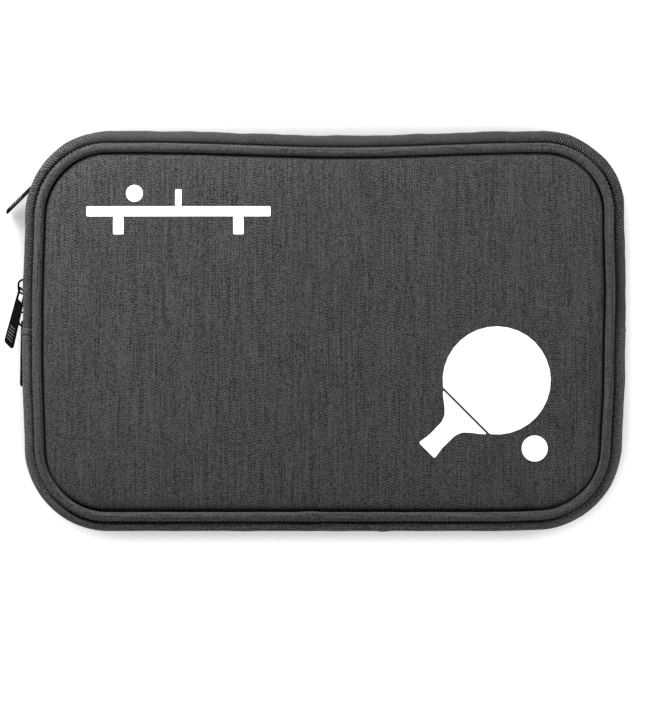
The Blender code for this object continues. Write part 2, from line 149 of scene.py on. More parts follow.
def over(end_y=None, end_angle=0.0, flip=1):
    """Rows of (base x, base y, outward x, outward y) from the left side over the top to the right."""
    rows = arc(-1, 1, end_angle, QUARTER) + line(TOP_LEFT, TOP_RIGHT, (0, 1), TOP_STEPS)
    rows += arc(1, 1, QUARTER, end_angle)
    if end_y is not None:
        steps = max(int(abs(CORNER_Y - end_y) / (2 * MM)), 1)
        rows = line((-CORNER_X, end_y), TOP_LEFT, (-1, 0), steps) + rows
        rows += line(TOP_RIGHT, (CORNER_X, end_y), (1, 0), steps)
    return tidy_rows(rows) * (1, flip, 1, flip)


def ring(start_x=None):
    """Closed rows round the whole outline, clockwise from the left side, or from start_x on the bottom."""
    rows = line(FOOT_LEFT, TOP_LEFT, (-1, 0), SIDE_STEPS) + arc(-1, 1, 0, QUARTER)
    rows += line(TOP_LEFT, TOP_RIGHT, (0, 1), TOP_STEPS) + arc(1, 1, QUARTER, 0)
    rows += line(TOP_RIGHT, FOOT_RIGHT, (1, 0), SIDE_STEPS) + arc(1, -1, 0, QUARTER)
    rows += line(FOOT_RIGHT, FOOT_LEFT, (0, -1), TOP_STEPS) + arc(-1, -1, QUARTER, 0)
    out = tidy_rows(rows)[:-1]
    if start_x is not None:
        bottom = [i for i, r in enumerate(out) if r[3] == -1 and abs(r[2]) < 1e-9]
        first = min(bottom, key=lambda i: abs(out[i][0] - start_x))
        out = np.roll(out, -first, axis=0)
    return out


def lengths(rows, reach, closed=False):
    """The length travelled at each row, at this reach."""
    points = rows[:, :2] + rows[:, 2:] * reach
    if closed:
        points = np.vstack([points, points[:1]])
    steps = np.linalg.norm(np.diff(points, axis=0), axis=1)
    return np.concatenate([[0], np.cumsum(steps)])


def rows_at(where, s, rows):
    """The rows at these lengths along s, with outward directions of length 1."""
    where = np.clip(where, 0, s[-1])
    out = np.stack([np.interp(where, s, rows[:, c]) for c in range(4)], axis=-1)
    out[..., 2:] /= np.linalg.norm(out[..., 2:], axis=-1, keepdims=True)
    return out


def add_object(name, mesh, material, smooth_faces=True):
    """Put a mesh in the scene as an object of one material."""
    mesh.materials.clear()
    mesh.materials.append(material)
    if smooth_faces:
        mesh.polygons.foreach_set("use_smooth", [True] * len(mesh.polygons))
    obj = bpy.data.objects.new(name, mesh)
    bpy.context.scene.collection.objects.link(obj)
    return obj


def new_object(name, vertices, faces, material):
    mesh = bpy.data.meshes.new(name)
    mesh.from_pydata([tuple(v) for v in vertices], [], faces)
    return add_object(name, mesh, material)


def face_outward(obj, merge=0.0):
    """Turn every face outwards, once vertices closer than merge are joined."""
    bm = bmesh.new()
    bm.from_mesh(obj.data)
    if merge:
        bmesh.ops.remove_doubles(bm, verts=bm.verts[:], dist=merge)
    bmesh.ops.recalc_face_normals(bm, faces=bm.faces[:])
    bm.to_mesh(obj.data)
    bm.free()
    return obj


def filled(name, outlines, **settings):
    """The mesh of a flat filled shape between these closed outlines."""
    curve = bpy.data.curves.new(name, "CURVE")
    curve.dimensions = "2D"
    curve.fill_mode = "BOTH"
    for key, value in settings.items():
        setattr(curve, key, value)
    for points in outlines:
        spline = curve.splines.new("POLY")
        spline.points.add(len(points) - 1)
        for point, position in zip(spline.points, points):
            point.co = (position[0], position[1], 0, 1)
        spline.use_cyclic_u = True
    temporary = bpy.data.objects.new(name + "_outline", curve)
    bpy.context.scene.collection.objects.link(temporary)
    bpy.context.view_layer.update()
    graph = bpy.context.evaluated_depsgraph_get()
    mesh = bpy.data.meshes.new_from_object(temporary.evaluated_get(graph))
    bpy.data.objects.remove(temporary)
    return mesh


def tube_faces(count, wide, closed=False, start=0):
    """The faces of a tube of rings with this many points each, with its ends capped unless it is closed."""
    faces = []
    for i in range(count if closed else count - 1):
        a, b = start + i * wide, start + (i + 1) % count * wide
        for j in range(wide):
            m = (j + 1) % wide
            faces.append((a + j, a + m, b + m, b + j))
    if not closed:
        faces.append(tuple(range(start, start + wide))[::-1])
        faces.append(tuple(range(start + (count - 1) * wide, start + count * wide)))
    return faces


def sweep(name, rows, profile, material, closed=False, ripple=None):
    """A closed profile of (reach, height) points swept along rows, with a cloth map in metres.

    ripple(lengths, reach, height) gives how far each row's point is moved outwards and up.
    """
    profile = np.array(profile, float)
    count, wide = len(rows), len(profile)
    s = lengths(rows, profile[:, 0].mean(), closed)
    around = np.vstack([profile, profile[:1]])
    t = np.concatenate([[0], np.cumsum(np.linalg.norm(np.diff(around, axis=0), axis=1))])
    vertices = np.zeros((count, wide, 3))
    for j, (reach, height) in enumerate(profile):
        out, up = ripple(s[:count], reach, height) if ripple else (0, 0)
        vertices[:, j, :2] = rows[:, :2] + rows[:, 2:] * np.reshape(reach + out, (-1, 1))
        vertices[:, j, 2] = height + up
    corner_uv = []
    for i in range(count if closed else count - 1):
        for j in range(wide):
            corner_uv += [(s[i], t[j]), (s[i], t[j + 1]), (s[i + 1], t[j + 1]), (s[i + 1], t[j])]
    if not closed:
        corner_uv += [(s[0], t[j]) for j in range(wide)][::-1]
        corner_uv += [(s[-1], t[j]) for j in range(wide)]
    faces = tube_faces(count, wide, closed)
    obj = new_object(name, settle(vertices.reshape(-1, 3)), faces, material)
    layer = obj.data.uv_layers.new(name="cloth")
    layer.data.foreach_set("uv", np.array(corner_uv, float).ravel())
    return face_outward(obj)


def curve_through(points, per_span):
    """Catmull-Rom points through the given ones."""
    p = [np.array(q, float) for q in points]
    p = [2 * p[0] - p[1]] + p + [2 * p[-1] - p[-2]]
    out = []
    for i in range(1, len(p) - 2):
        for k in range(per_span):
            t = k / per_span
            a, b, c, d = p[i - 1], p[i], p[i + 1], p[i + 2]
            square, cube = 2 * a - 5 * b + 4 * c - d, 3 * b - a - 3 * c + d
            out.append(0.5 * (2 * b + (c - a) * t + square * t**2 + cube * t**3))
    out.append(p[-2])
    return np.array(out)


def smooth_line(points, per_span):
    """A smooth line through (reach, height) points in millimetres, and its outward directions."""
    middle = curve_through(points, per_span) * MM
    tangent = np.gradient(middle, axis=0)
    tangent /= np.linalg.norm(tangent, axis=1)[:, None]
    return middle, np.stack([-tangent[:, 1], tangent[:, 0]], axis=1)


def band(points, thick):
    """A closed band profile of this thickness round a smooth line."""
    middle, outward = smooth_line(points, 5)
    side = outward * thick / 2
    return np.vstack([middle + side, (middle - side)[::-1]])


def wall(points, reach=WALL_REACH):
    """A wall's section in millimetres, from points of how far each stands out, and its height."""
    return [(reach / MM + out, z) for out, z in points]


def noise_1d(s, seed, wavelength):
    """Smooth repeatable noise along a length."""
    rng = np.random.default_rng(seed)
    total = np.zeros_like(s)
    for octave in range(4):
        f = 2 * math.pi / (wavelength / 1.9**octave)
        total += np.sin(s * f * rng.uniform(0.8, 1.2) + rng.uniform(0, 6.28)) / 1.6**octave
    return total / 2.2


# ---- materials

class Graph:
    """Short calls for building a node material. Its coordinates mm, x and y are in millimetres."""

    def __init__(self, name, use_map=False):
        self.material = bpy.data.materials.new(name)
        self.material.use_nodes = True
        self.tree = self.material.node_tree
        self.shader = self.tree.nodes["Principled BSDF"]
        if use_map:
            source = self.made("ShaderNodeUVMap", {}, uv_map="cloth")
        else:
            source = self.made("ShaderNodeTexCoord", {}, "Object")
        self.mm = self.vector("SCALE", source, 1000.0)
        self.x, self.y = (self.made("ShaderNodeSeparateXYZ", {0: self.mm}, axis) for axis in "XY")

    def link(self, source, target):
        if isinstance(source, bpy.types.NodeSocket):
            self.tree.links.new(source, target)
        else:
            target.default_value = source

    def made(self, kind, inputs, output=0, **settings):
        """The output of a new node, with these of its inputs linked or set."""
        node = self.tree.nodes.new(kind)
        for key, value in settings.items():
            setattr(node, key, value)
        for key, value in inputs.items():
            self.link(value, node.inputs[key])
        return node.outputs[output]

    def math(self, operation, a, b=0.0, clamp=False):
        return self.made("ShaderNodeMath", {0: a, 1: b}, operation=operation, use_clamp=clamp)

    def add(self, a, b, clamp=False):
        return self.math("ADD", a, b, clamp)

    def sub(self, a, b):
        return self.math("SUBTRACT", a, b)

    def mul(self, a, b):
        return self.math("MULTIPLY", a, b)

    def wave(self, value, half):
        """A sine of the value, with half waves of this length."""
        return self.math("SINE", self.mul(value, math.pi / half))

    def vector(self, operation, a, b=(0, 0, 0)):
        second = "Scale" if operation == "SCALE" else 1
        return self.made("ShaderNodeVectorMath", {0: a, second: b}, operation=operation)

    def noise(self, vector, scale, detail, roughness):
        inputs = {"Vector": vector, "Scale": scale, "Detail": detail, "Roughness": roughness}
        return self.made("ShaderNodeTexNoise", inputs)

    def white(self, vector):
        return self.made("ShaderNodeTexWhiteNoise", {"Vector": vector}, "Value", noise_dimensions="3D")

    def cells(self, vector, wide, long):
        """One random value for each cell of a grid."""
        return self.white(self.vector("FLOOR", self.vector("MULTIPLY", vector, (1 / wide, 1 / long, 0))))

    def mix(self, factor, a, b):
        return self.made("ShaderNodeMix", {0: factor, 6: a, 7: b}, 2, data_type="RGBA")

    def ramp(self, value, low, high, to_low=0.0, to_high=1.0, smoothstep=False):
        inputs = {0: value, 1: low, 2: high, 3: to_low, 4: to_high}
        kind = "SMOOTHSTEP" if smoothstep else "LINEAR"
        return self.made("ShaderNodeMapRange", inputs, interpolation_type=kind)

    def combine(self, x, y, z=0.0):
        return self.made("ShaderNodeCombineXYZ", {0: x, 1: y, 2: z})

    def bump(self, height, distance, strength=1.0, under=None):
        inputs = {"Strength": strength, "Distance": distance, "Height": height}
        if under is not None:
            inputs["Normal"] = under
        return self.made("ShaderNodeBump", inputs)

    def openness(self, reach, samples):
        """How open a place is, from 0 in a closed hole to 1 where nothing is within reach."""
        return self.made("ShaderNodeAmbientOcclusion", {"Distance": reach}, "AO", samples=samples)

    def seam_shade(self, colour):
        """The colour, darker deep in a seam: painted shade from an occlusion node."""
        return self.vector("SCALE", colour, self.ramp(self.openness(1.8 * MM, 6), 0.3, 0.8, 0.12, 1.0))

    def surface(self, colour, roughness, normal=None, alpha=None, **constant):
        driven = {"Base Color": colour, "Roughness": roughness, "Normal": normal, "Alpha": alpha}
        for name, value in driven.items():
            if value is not None:
                self.link(value, self.shader.inputs[name])
        for name, value in constant.items():
            self.shader.inputs[name.replace("_", " ").title().replace("Ior", "IOR")].default_value = value
        return self.material


def rgb(value, blue=0.0):
    return (value, value, value * (1 + blue), 1.0)


# Spacings of the yarns in the melange and the lining, in millimetres.
YARN = 0.44
LINING_YARN = math.pi / 9


def melange(name, use_map, dark, light, streak_axis, strength):
    """Woven melange cloth: mixed light and dark yarns, with fine streaks along the warp."""
    g = Graph(name, use_map)
    warp, weft = (g.x, g.y) if streak_axis == "y" else (g.y, g.x)
    flat = g.combine(warp, weft)
    # every yarn crossing has its own shade, and so has every short float along the warp
    crossing = g.cells(flat, 0.28, 0.34)
    pair = g.cells(flat, 0.68, 1.2)
    # a warp yarn keeps its shade for some millimetres, and dips under every third weft yarn
    yarn = g.math("FLOOR", g.mul(warp, 1 / YARN))
    short = g.noise(g.combine(g.mul(yarn, 5.17), g.mul(weft, 0.3)), 1.0, 2.0, 0.55)
    long = g.noise(g.combine(g.mul(yarn, 7.31), g.mul(weft, 0.035)), 1.0, 1.0, 0.5)
    phase = g.mul(g.white(g.combine(yarn, 3.0)), 2 * math.pi)
    dip = g.math("SINE", g.add(g.mul(weft, 2 * math.pi / 1.5), phase))
    dip = g.ramp(dip, -1, 1)
    patch = g.noise(g.vector("MULTIPLY", flat, (0.09, 0.06, 0)), 1.0, 2.0, 0.5)
    fleck = g.ramp(g.cells(flat, 0.45, 0.6), 0.96, 0.97)
    total = g.mul(g.sub(crossing, 0.5), 1.25 * strength)
    for source, amount in ((pair, 0.2), (short, 0.6), (long, 1.5), (dip, 0.6), (patch, 0.1)):
        part = g.mul(g.sub(source, 0.5), amount * strength)
        total = g.add(total, part)
    total = g.add(g.add(total, 0.47), g.mul(fleck, 0.6))
    total = g.math("MAXIMUM", total, 0.0)
    # painted shade: the cloth is darkened deep in its seams
    base = g.seam_shade(g.mix(total, rgb(dark, 0.04), rgb(light, 0.04)))
    # over-and-under weave relief
    weave = g.mul(g.wave(warp, YARN), g.wave(weft, 0.5))
    fuzz = g.noise(g.mm, 3.2, 3.0, 0.7)
    height = g.add(g.mul(weave, 0.4), g.mul(crossing, 0.8))
    height = g.add(height, g.mul(fuzz, 0.8))
    soft = g.noise(g.mm, 0.06, 2.0, 0.5)
    normal = g.bump(height, 0.09 * MM, 0.9, g.bump(soft, 0.5 * MM, 0.35))
    rough = g.ramp(total, 0, 1, 0.97, 0.88)
    return g.surface(base, rough, normal, sheen_weight=0.04, sheen_roughness=0.6, specular_ior_level=0.15)


def tape_cloth(name, dark, light):
    """Zip tape: a fine herringbone of light ribs on a dark ground."""
    g = Graph(name, True)
    slant = g.add(g.x, g.math("PINGPONG", g.y, 1.7))
    lift = g.ramp(g.wave(slant, 0.75), -0.45, 0.85, smoothstep=True)
    yarn = g.cells(g.combine(slant, g.y), 0.75, 0.7)
    fuzz = g.noise(g.mm, 2.6, 3.0, 0.65)
    shade = g.mul(lift, g.add(g.mul(yarn, 0.6), 0.4))
    shade = g.add(shade, g.mul(g.sub(fuzz, 0.5), 0.5), clamp=True)
    # painted shade: the tape is darkened deep in its seams
    colour = g.seam_shade(g.mix(shade, rgb(dark), rgb(light)))
    height = g.add(lift, g.mul(fuzz, 0.4))
    return g.surface(colour, 0.95, g.bump(height, 0.22 * MM), sheen_weight=0.02, specular_ior_level=0.15)


def lining_cloth(name, dark, light, use_map=False):
    """Thin woven lining with a ripstop grid and a slight gloss."""
    g = Graph(name, use_map)
    rip = g.math("MAXIMUM", *(g.ramp(g.math("PINGPONG", axis, 2.5), 0.28, 0.1) for axis in (g.x, g.y)))
    weave = g.mul(g.wave(g.x, LINING_YARN), g.wave(g.y, LINING_YARN))
    crease = g.noise(g.mm, 0.045, 3.0, 0.6)
    fleck = g.noise(g.mm, 2.0, 2.0, 0.6)
    shade = g.add(g.mul(rip, 0.45), g.mul(fleck, 0.5), clamp=True)
    height = g.add(g.mul(weave, 0.25), g.mul(rip, 0.8))
    normal = g.bump(height, 0.08 * MM, 1.0, g.bump(crease, 2.5 * MM, 0.5))
    rough = g.ramp(crease, 0.3, 0.7, 0.55, 0.72)
    return g.surface(g.mix(shade, rgb(dark), rgb(light)), rough, normal, sheen_weight=0.05)


def net_cloth(name):
    """Open knitted net: rounded holes between knitted bars."""
    g = Graph(name)
    row = g.math("FLOOR", g.mul(g.y, 1 / 1.7))
    shift = g.mul(g.math("MODULO", row, 2.0), 1.1)
    cx = g.math("PINGPONG", g.add(g.x, shift), 1.1)
    cy = g.math("PINGPONG", g.y, 0.85)
    far = g.math("SQRT", g.add(g.mul(cx, cx), g.mul(cy, cy)))
    bars = g.ramp(far, 0.46, 0.58)
    fuzz = g.noise(g.mm, 4.0, 2.0, 0.6)
    colour = g.mix(fuzz, rgb(0.012), rgb(0.04))
    return g.surface(colour, 0.8, g.bump(g.add(far, fuzz), 0.2 * MM), alpha=bars)


def ribbed(name, dark, light):
    """Elastic binding: fine ribs across its width."""
    g = Graph(name)
    rib = g.ramp(g.wave(g.x, 0.6), -1, 1)
    fine = g.ramp(g.wave(g.y, 0.3), -1, 1)
    fuzz = g.noise(g.mm, 2.4, 2.0, 0.6)
    shade = g.add(g.mul(rib, 0.5), g.mul(fuzz, 0.5))
    height = g.add(rib, g.mul(fine, 0.35))
    return g.surface(g.mix(shade, rgb(dark), rgb(light)), 0.75, g.bump(height, 0.2 * MM))


def nylon(name):
    g = Graph(name)
    haze = g.noise(g.mm, 0.35, 3.0, 0.6)
    fine = g.noise(g.mm, 5.0, 2.0, 0.6)
    colour = g.mix(haze, rgb(0.010), rgb(0.024))
    rough = g.ramp(haze, 0.3, 0.7, 0.32, 0.5)
    return g.surface(colour, rough, g.bump(fine, 0.02 * MM), specular_ior_level=0.3)


def painted_metal(name, dark, bright):
    """Black painted die-cast metal, worn through to grey along its edges."""
    g = Graph(name)
    peel = g.noise(g.mm, 1.1, 3.0, 0.6)
    scuff = g.noise(g.mm, 0.5, 4.0, 0.75)
    edge = g.made("ShaderNodeNewGeometry", {}, "Pointiness")
    worn = g.mul(g.ramp(edge, 0.54, 0.6), g.ramp(scuff, 0.52, 0.6))
    colour = g.mix(worn, g.mix(peel, rgb(dark), rgb(dark * 2.2)), rgb(bright))
    rough = g.add(g.ramp(peel, 0.3, 0.7, 0.5, 0.62), g.mul(worn, 0.1))
    return g.surface(colour, rough, g.bump(peel, 0.05 * MM, 0.6), specular_ior_level=0.0)


def print_ink(name):
    """White transfer print: smooth, with the weave just showing through."""
    g = Graph(name)
    weave = g.mul(g.wave(g.x, 0.42), g.wave(g.y, 0.46))
    fine = g.noise(g.mm, 1.6, 3.0, 0.7)
    patch = g.noise(g.mm, 0.12, 2.0, 0.5)
    colour = g.mix(patch, (0.86, 0.865, 0.87, 1), (0.92, 0.92, 0.92, 1))
    colour = g.mix(g.ramp(fine, 0.6, 0.8), colour, (0.8, 0.8, 0.81, 1))
    height = g.add(g.mul(weave, 0.3), fine)
    return g.surface(colour, g.ramp(fine, 0.3, 0.7, 0.42, 0.56), g.bump(height, 0.05 * MM, 0.7))


def board_stock(name):
    g = Graph(name)
    fibre = g.noise(g.vector("MULTIPLY", g.mm, (0.6, 3.0, 3.0)), 1.0, 4.0, 0.65)
    return g.surface(g.mix(fibre, rgb(0.1), rgb(0.2)), 0.85, g.bump(fibre, 0.1 * MM))


def thread(name, dark, light):
    g = Graph(name)
    twist = g.noise(g.mm, 5.0, 2.0, 0.6)
    return g.surface(g.mix(twist, rgb(dark), rgb(light)), 0.7, g.bump(twist, 0.03 * MM), sheen_weight=0.1)


CLOTH = melange("melange_panel", False, 0.003, 0.047, "y", 1.25)
CLOTH_RING = melange("melange_gusset", True, 0.003, 0.066, "x", 1.1)
CLOTH_PIPING = melange("melange_piping", True, 0.003, 0.053, "x", 1.2)
TAPE = tape_cloth("zip_tape_cloth", 0.0015, 0.09)
# near-black cloth for strips and tubes that paint the shade in grooves and tucks
SHADOW_TAPE = lining_cloth("painted_shade", 0.001, 0.003, True)
LINING = lining_cloth("lining_cloth", 0.012, 0.04)
NET = net_cloth("net_cloth")
ELASTIC = ribbed("elastic_binding", 0.008, 0.03)
COIL = nylon("nylon_coil")
METAL = painted_metal("painted_metal", 0.002, 0.15)
WORN = painted_metal("worn_metal", 0.035, 0.3)
INK = print_ink("white_ink")
BOARD = board_stock("board_stock")
THREAD = thread("dark_thread", 0.008, 0.03)


def with_finish(obj):
    """The piece, returned as it is."""
    return obj


def flap_piece(obj, *nodes):
    """A piece across the base and the flap, with its transform baked in and left without a body, standing
    in for these nodes if there are any.
    """
    if nodes:
        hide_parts(*nodes)
    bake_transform(obj)
    with_finish(obj)


def base_piece(obj, *nodes):
    if nodes:
        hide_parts(*nodes)
    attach(obj, "base")
    with_finish(obj)


# ---- padded panels

def grid_faces(wide, long, start=0):
    """The faces between the points of a grid, row after row."""
    corners = [start + j * wide + i for j in range(long - 1) for i in range(wide - 1)]
    return [(a, a + 1, a + wide + 1, a + wide) for a in corners]


def level(height):
    """A height function for pad_mesh that is the same everywhere."""
    return lambda x, y, inset: np.full_like(x, height)


def pad_mesh(name, outer, skirt, levels, top, bottom_z, material):
    """A closed pad: a shaped face over concentric outlines, a skirt, and a flat face at bottom_z.

    levels are reaches from the outline inwards; top(x, y, inset) gives the shaped face's height.
    """
    rows = ring()
    below = level(bottom_z)
    outlines = [(0.0, below), (outer - 0.6 * MM, below)]
    outlines += [(reach, level(z)) for reach, z in skirt] + [(reach, top) for reach in levels]
    vertices = np.zeros((0, 3))
    for reach, height_of in outlines:
        x, y = (rows[:, :2] + rows[:, 2:] * reach).T
        z = height_of(x, y, np.full_like(x, outer - reach))
        vertices = np.vstack([vertices, np.stack([x, y, z], axis=1)])
    # two grids between the corner centres take the place of the caps
    faces = tube_faces(len(outlines), len(rows))[:-2]
    x, y = np.meshgrid(np.linspace(-CORNER_X, CORNER_X, TOP_STEPS + 1),
                       np.linspace(-CORNER_Y, CORNER_Y, SIDE_STEPS + 1))
    inset = outer + np.minimum(CORNER_X - np.abs(x), CORNER_Y - np.abs(y))
    for height_of in (below, top):
        faces += grid_faces(TOP_STEPS + 1, SIDE_STEPS + 1, len(vertices))
        grid = np.stack([x, y, height_of(x, y, inset)], axis=2).reshape(-1, 3)
        vertices = np.vstack([vertices, grid])
    return face_outward(new_object(name, settle(vertices), faces, material), 1e-6)


def lumps(x, y, seed, scale):
    rng = np.random.default_rng(seed)
    total = np.zeros_like(x)
    for _ in range(7):
        fx, fy = rng.uniform(-1, 1, 2) * 2 * math.pi / scale
        total += np.sin(fx * x + fy * y + rng.uniform(0, 6.28))
    return total / 7


def front_top(x, y, inset):
    """The front's padded face: a tight shoulder at the piping, then a slow crown."""
    inset = np.maximum(inset, 0)
    rise = 1 - np.exp(-inset / (1.1 * MM))
    roll = 1 - np.exp(-inset / (9.5 * MM))
    edge = COVER_TOP - 5.4 * MM
    fall_x, fall_y = (np.clip(np.abs(a) / half, 0, 1) ** 2.4 for a, half in ((x, 141 * MM), (y, 90 * MM)))
    z = edge + 2.3 * MM * rise + 2.4 * MM * roll + 1.7 * MM * ((1 - fall_x) * (1 - fall_y))
    return z + 0.16 * MM * lumps(x, y, 11, 60 * MM) * rise


INSETS = (0.15, 0.5, 1.0, 1.7, 2.6, 3.8, 5.4, 7.5, 10, 13, 16.5, 20.5, 25)
LEVELS = [PANEL_REACH - inset * MM for inset in INSETS] + [0.0]


def rear_top(x, y, inset):
    """The back's padded face, flat where it lies on the table and rounded up at its edge."""
    return 0.02 * MM + 2.0 * MM * (1 - smooth(inset, 0, 7 * MM)) ** 1.6


def build_pads():
    low, high = LINING_LOW + 0.75 * MM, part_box("rear_foam")[1].z
    near = PANEL_REACH - 0.1 * MM
    front = pad_mesh("front_panel", PANEL_REACH, [(near, low + 0.5 * MM)], LEVELS, front_top, low, CLOTH)
    skirt = [(near, high - 0.5 * MM), (PANEL_REACH, 2.6 * MM)]
    rear = pad_mesh("rear_panel", PANEL_REACH, skirt, LEVELS, rear_top, high, CLOTH)
    return front, rear


# ---- prints

def print_shape(part, outline, target, body):
    """A thin print lying on the padded face under it, in place of the print node."""
    name = "ink_" + part
    mesh = filled(name, [outline])
    bm = bmesh.new()
    bm.from_mesh(mesh)
    bmesh.ops.remove_doubles(bm, verts=bm.verts[:], dist=1e-6)
    step = 4 * MM
    xs = [v.co.x for v in bm.verts]
    ys = [v.co.y for v in bm.verts]
    for axis, low, high in ((0, min(xs), max(xs)), (1, min(ys), max(ys))):
        at = math.ceil(low / step) * step
        while at < high:
            place, normal = Vector(), Vector()
            place[axis], normal[axis] = at, 1
            geometry = bm.verts[:] + bm.edges[:] + bm.faces[:]
            bmesh.ops.bisect_plane(bm, geom=geometry, plane_co=place, plane_no=normal, dist=1e-7)
            at += step
    for vertex in bm.verts:
        hit = target.ray_cast(Vector((vertex.co.x, vertex.co.y, 0.2)), Vector((0, 0, -1)))
        vertex.co.z = hit[0].z + 0.05 * MM
    for face in bm.faces:
        if face.normal.z < 0:
            face.normal_flip()
    solid = bmesh.ops.extrude_face_region(bm, geom=bm.faces[:])
    for made in solid["geom"]:
        if isinstance(made, bmesh.types.BMVert):
            made.co.z += 0.12 * MM
    bmesh.ops.recalc_face_normals(bm, faces=bm.faces[:])
    bm.to_mesh(mesh)
    bm.free()
    ink = add_object(name, mesh, INK, False)
    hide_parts("print_" + part)
    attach(with_finish(ink), body)


def round_corners(points, radius, steps):
    """The polygon with its corners rounded."""
    out = []
    count = len(points)
    for i in range(count):
        a, b, c = Vector(points[i - 1]), Vector(points[i]), Vector(points[(i + 1) % count])
        r = min(radius, (a - b).length / 2.2, (c - b).length / 2.2)
        start, end = b + (a - b).normalized() * r, b + (c - b).normalized() * r
        for k in range(steps + 1):
            t = k / steps
            out.append(tuple((1 - t) ** 2 * start + 2 * t * (1 - t) * b + t**2 * end))
    return out


def circle(x, y, radius, steps):
    turn = 2 * math.pi / steps
    return [(x + radius * math.cos(turn * i), y + radius * math.sin(turn * i)) for i in range(steps)]


def box_outline(node, radius):
    low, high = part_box(node)
    return round_corners([(low.x, low.y), (high.x, low.y), (high.x, high.y), (low.x, high.y)], radius, 5)


def build_prints(front):
    bpy.context.view_layer.update()
    target = BVHTree.FromObject(front, bpy.context.evaluated_depsgraph_get())
    for part in ("table_top", "table_leg_left", "table_leg_right", "table_net"):
        print_shape(part, box_outline("print_" + part, 0.6 * MM), target, "front_flap")
    for part, body in (("table_ball", "front_flap"), ("paddle_ball", "base")):
        low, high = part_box("print_" + part)
        centre = (low + high) / 2
        print_shape(part, circle(centre.x, centre.y, (high.x - low.x) / 2, 56), target, body)
    blade, handle = (rim_outline(frame["nodes"]["print_paddle_" + part]) for part in ("blade", "handle"))
    print_shape("paddle_blade", blade, target, "base")
    print_shape("paddle_handle", round_corners(handle, 1.2 * MM, 5), target, "base")


def rim_outline(node):
    """The outline of a flat node, walked round the rim of its upper face."""
    bm = bmesh.new()
    bm.from_mesh(node.data)
    bmesh.ops.remove_doubles(bm, verts=bm.verts[:], dist=1e-6)
    bm.normal_update()
    upper = {face for face in bm.faces if face.normal.z > 0.9}
    after = {}
    for edge in bm.edges:
        beside = [face for face in edge.link_faces if face in upper]
        if len(beside) == 1:
            for loop in beside[0].loops:
                if loop.edge == edge:
                    after[loop.vert] = loop.link_loop_next.vert
    first = next(iter(after))
    points, at = [], first
    while not points or at != first:
        points.append((at.co.x, at.co.y))
        at = after[at]
    bm.free()
    return points


# ---- piping, tapes, coils, gussets

def piping(name, rows, reach, z, radius, seed):
    """Fabric-covered piping cord. The cover's ends are lapped where the ring closes."""
    total = lengths(rows, reach, True)[-1]

    def ripple(s, at_reach, height):
        swell = 0.09 * MM * noise_1d(s, seed, 23 * MM) + 0.05 * MM * noise_1d(s, seed + 1, 5 * MM)
        swell = swell + 0.34 * MM * (smooth(s, 0, 0.3 * MM) - smooth(s, 7 * MM, 12 * MM))
        swell = swell - 0.25 * MM * smooth(s, total - 2.5 * MM, total)
        out, up = (at_reach - reach) / radius, (height - z) / radius
        return out * swell, up * swell

    return sweep(name, rows, circle(reach, z, radius, 20), CLOTH_PIPING, True, ripple)


def stitches(name, rows, reach, z, pitch, long, radius, seed):
    """A row of separate thread stitches round an outline."""
    s = lengths(rows, reach, True)
    track = np.vstack([rows, rows[:1]])
    rng = np.random.default_rng(seed)
    vertices, faces = [], []
    stations = ((-0.5, 0.35), (-0.3, 0.85), (0.0, 1.0), (0.3, 0.85), (0.5, 0.35))
    for number in range(int(s[-1] / pitch)):
        at = (number + 0.5) * pitch + rng.uniform(-0.1, 0.1) * pitch
        start = len(vertices)
        for offset, share in stations:
            row = rows_at(at + offset * long, s, track)
            sink = 0.35 * radius * (1 - share)
            for out, up in circle(reach, z - sink, radius * share, 6):
                vertices.append((row[0] + row[2] * out, row[1] + row[3] * out, up))
        faces += tube_faces(len(stations), 6, False, start)
    return face_outward(new_object(name, settle(vertices), faces, THREAD))


def tuck_shade_tube(name, section, row, lift, radius):
    """A near-black tube over a wall or cord at one row: painted shade in the tuck where one length of cloth
    laps over another.
    """
    middle, outward = smooth_line(section, 8)
    reach, z = (middle + outward * lift).T
    path = np.stack([row[0] + row[2] * reach, row[1] + row[3] * reach, z], axis=1)
    return tube_mesh(name, settle(path), radius, 8, SHADOW_TAPE)


def coil(name, rows, reach, zip_z, side, phase):
    """One half of a nylon coil: a flattened spiral with its heads on the zip line."""
    pitch = 1.35 * MM
    s = lengths(rows, reach)
    turns = int(s[-1] / pitch)
    per_turn = 10
    at = np.linspace(0, turns, turns * per_turn + 1)
    row = rows_at((at + phase) * pitch, s, rows)
    angle = at * 2 * math.pi
    across = 1.55 * MM - 1.75 * MM * np.cos(angle)
    out = reach + 1.25 * MM + 0.4 * MM * np.sin(angle)
    x, y = row[:, 0] + row[:, 2] * out, row[:, 1] + row[:, 3] * out
    path = np.stack([x, y, zip_z + side * across], axis=1)
    return tube_mesh(name, settle(path), 0.26 * MM, 6, COIL)


def tube_mesh(name, path, radius, sides, material):
    """A round tube along a path, with capped ends."""
    path = np.asarray(path, float)
    tangent = np.gradient(path, axis=0)
    tangent /= np.linalg.norm(tangent, axis=1)[:, None] + 1e-12
    normal = np.cross(tangent[0], (0.3, 0.5, 0.8))
    normals = []
    for direction in tangent:
        normal = normal - direction * normal.dot(direction)
        normal = normal / np.linalg.norm(normal)
        normals.append(normal)
    normals = np.array(normals)
    second = np.cross(tangent, normals)
    turns = [2 * math.pi * k / sides for k in range(sides)]
    sections = [path + (normals * math.cos(a) + second * math.sin(a)) * radius for a in turns]
    vertices = np.stack(sections, axis=1).reshape(-1, 3)
    return face_outward(new_object(name, vertices, tube_faces(len(path), sides), material))


def belly(height, low_z, high_z):
    """0 at the two edges of a wall and 1 at the middle of its height."""
    return math.sin(math.pi * min(max((height - low_z) / (high_z - low_z), 0), 1))


def cloth_ripple(seed, size, wavelength, low_z, high_z):
    """Soft puckers along a wall, strongest in the middle of its height."""

    def ripple(s, reach, height):
        out, up = (noise_1d(s, seed + more, wavelength) for more in (0, 5))
        middle = belly(height, low_z, high_z)
        return size * middle * out, 0.3 * size * middle * up

    return ripple


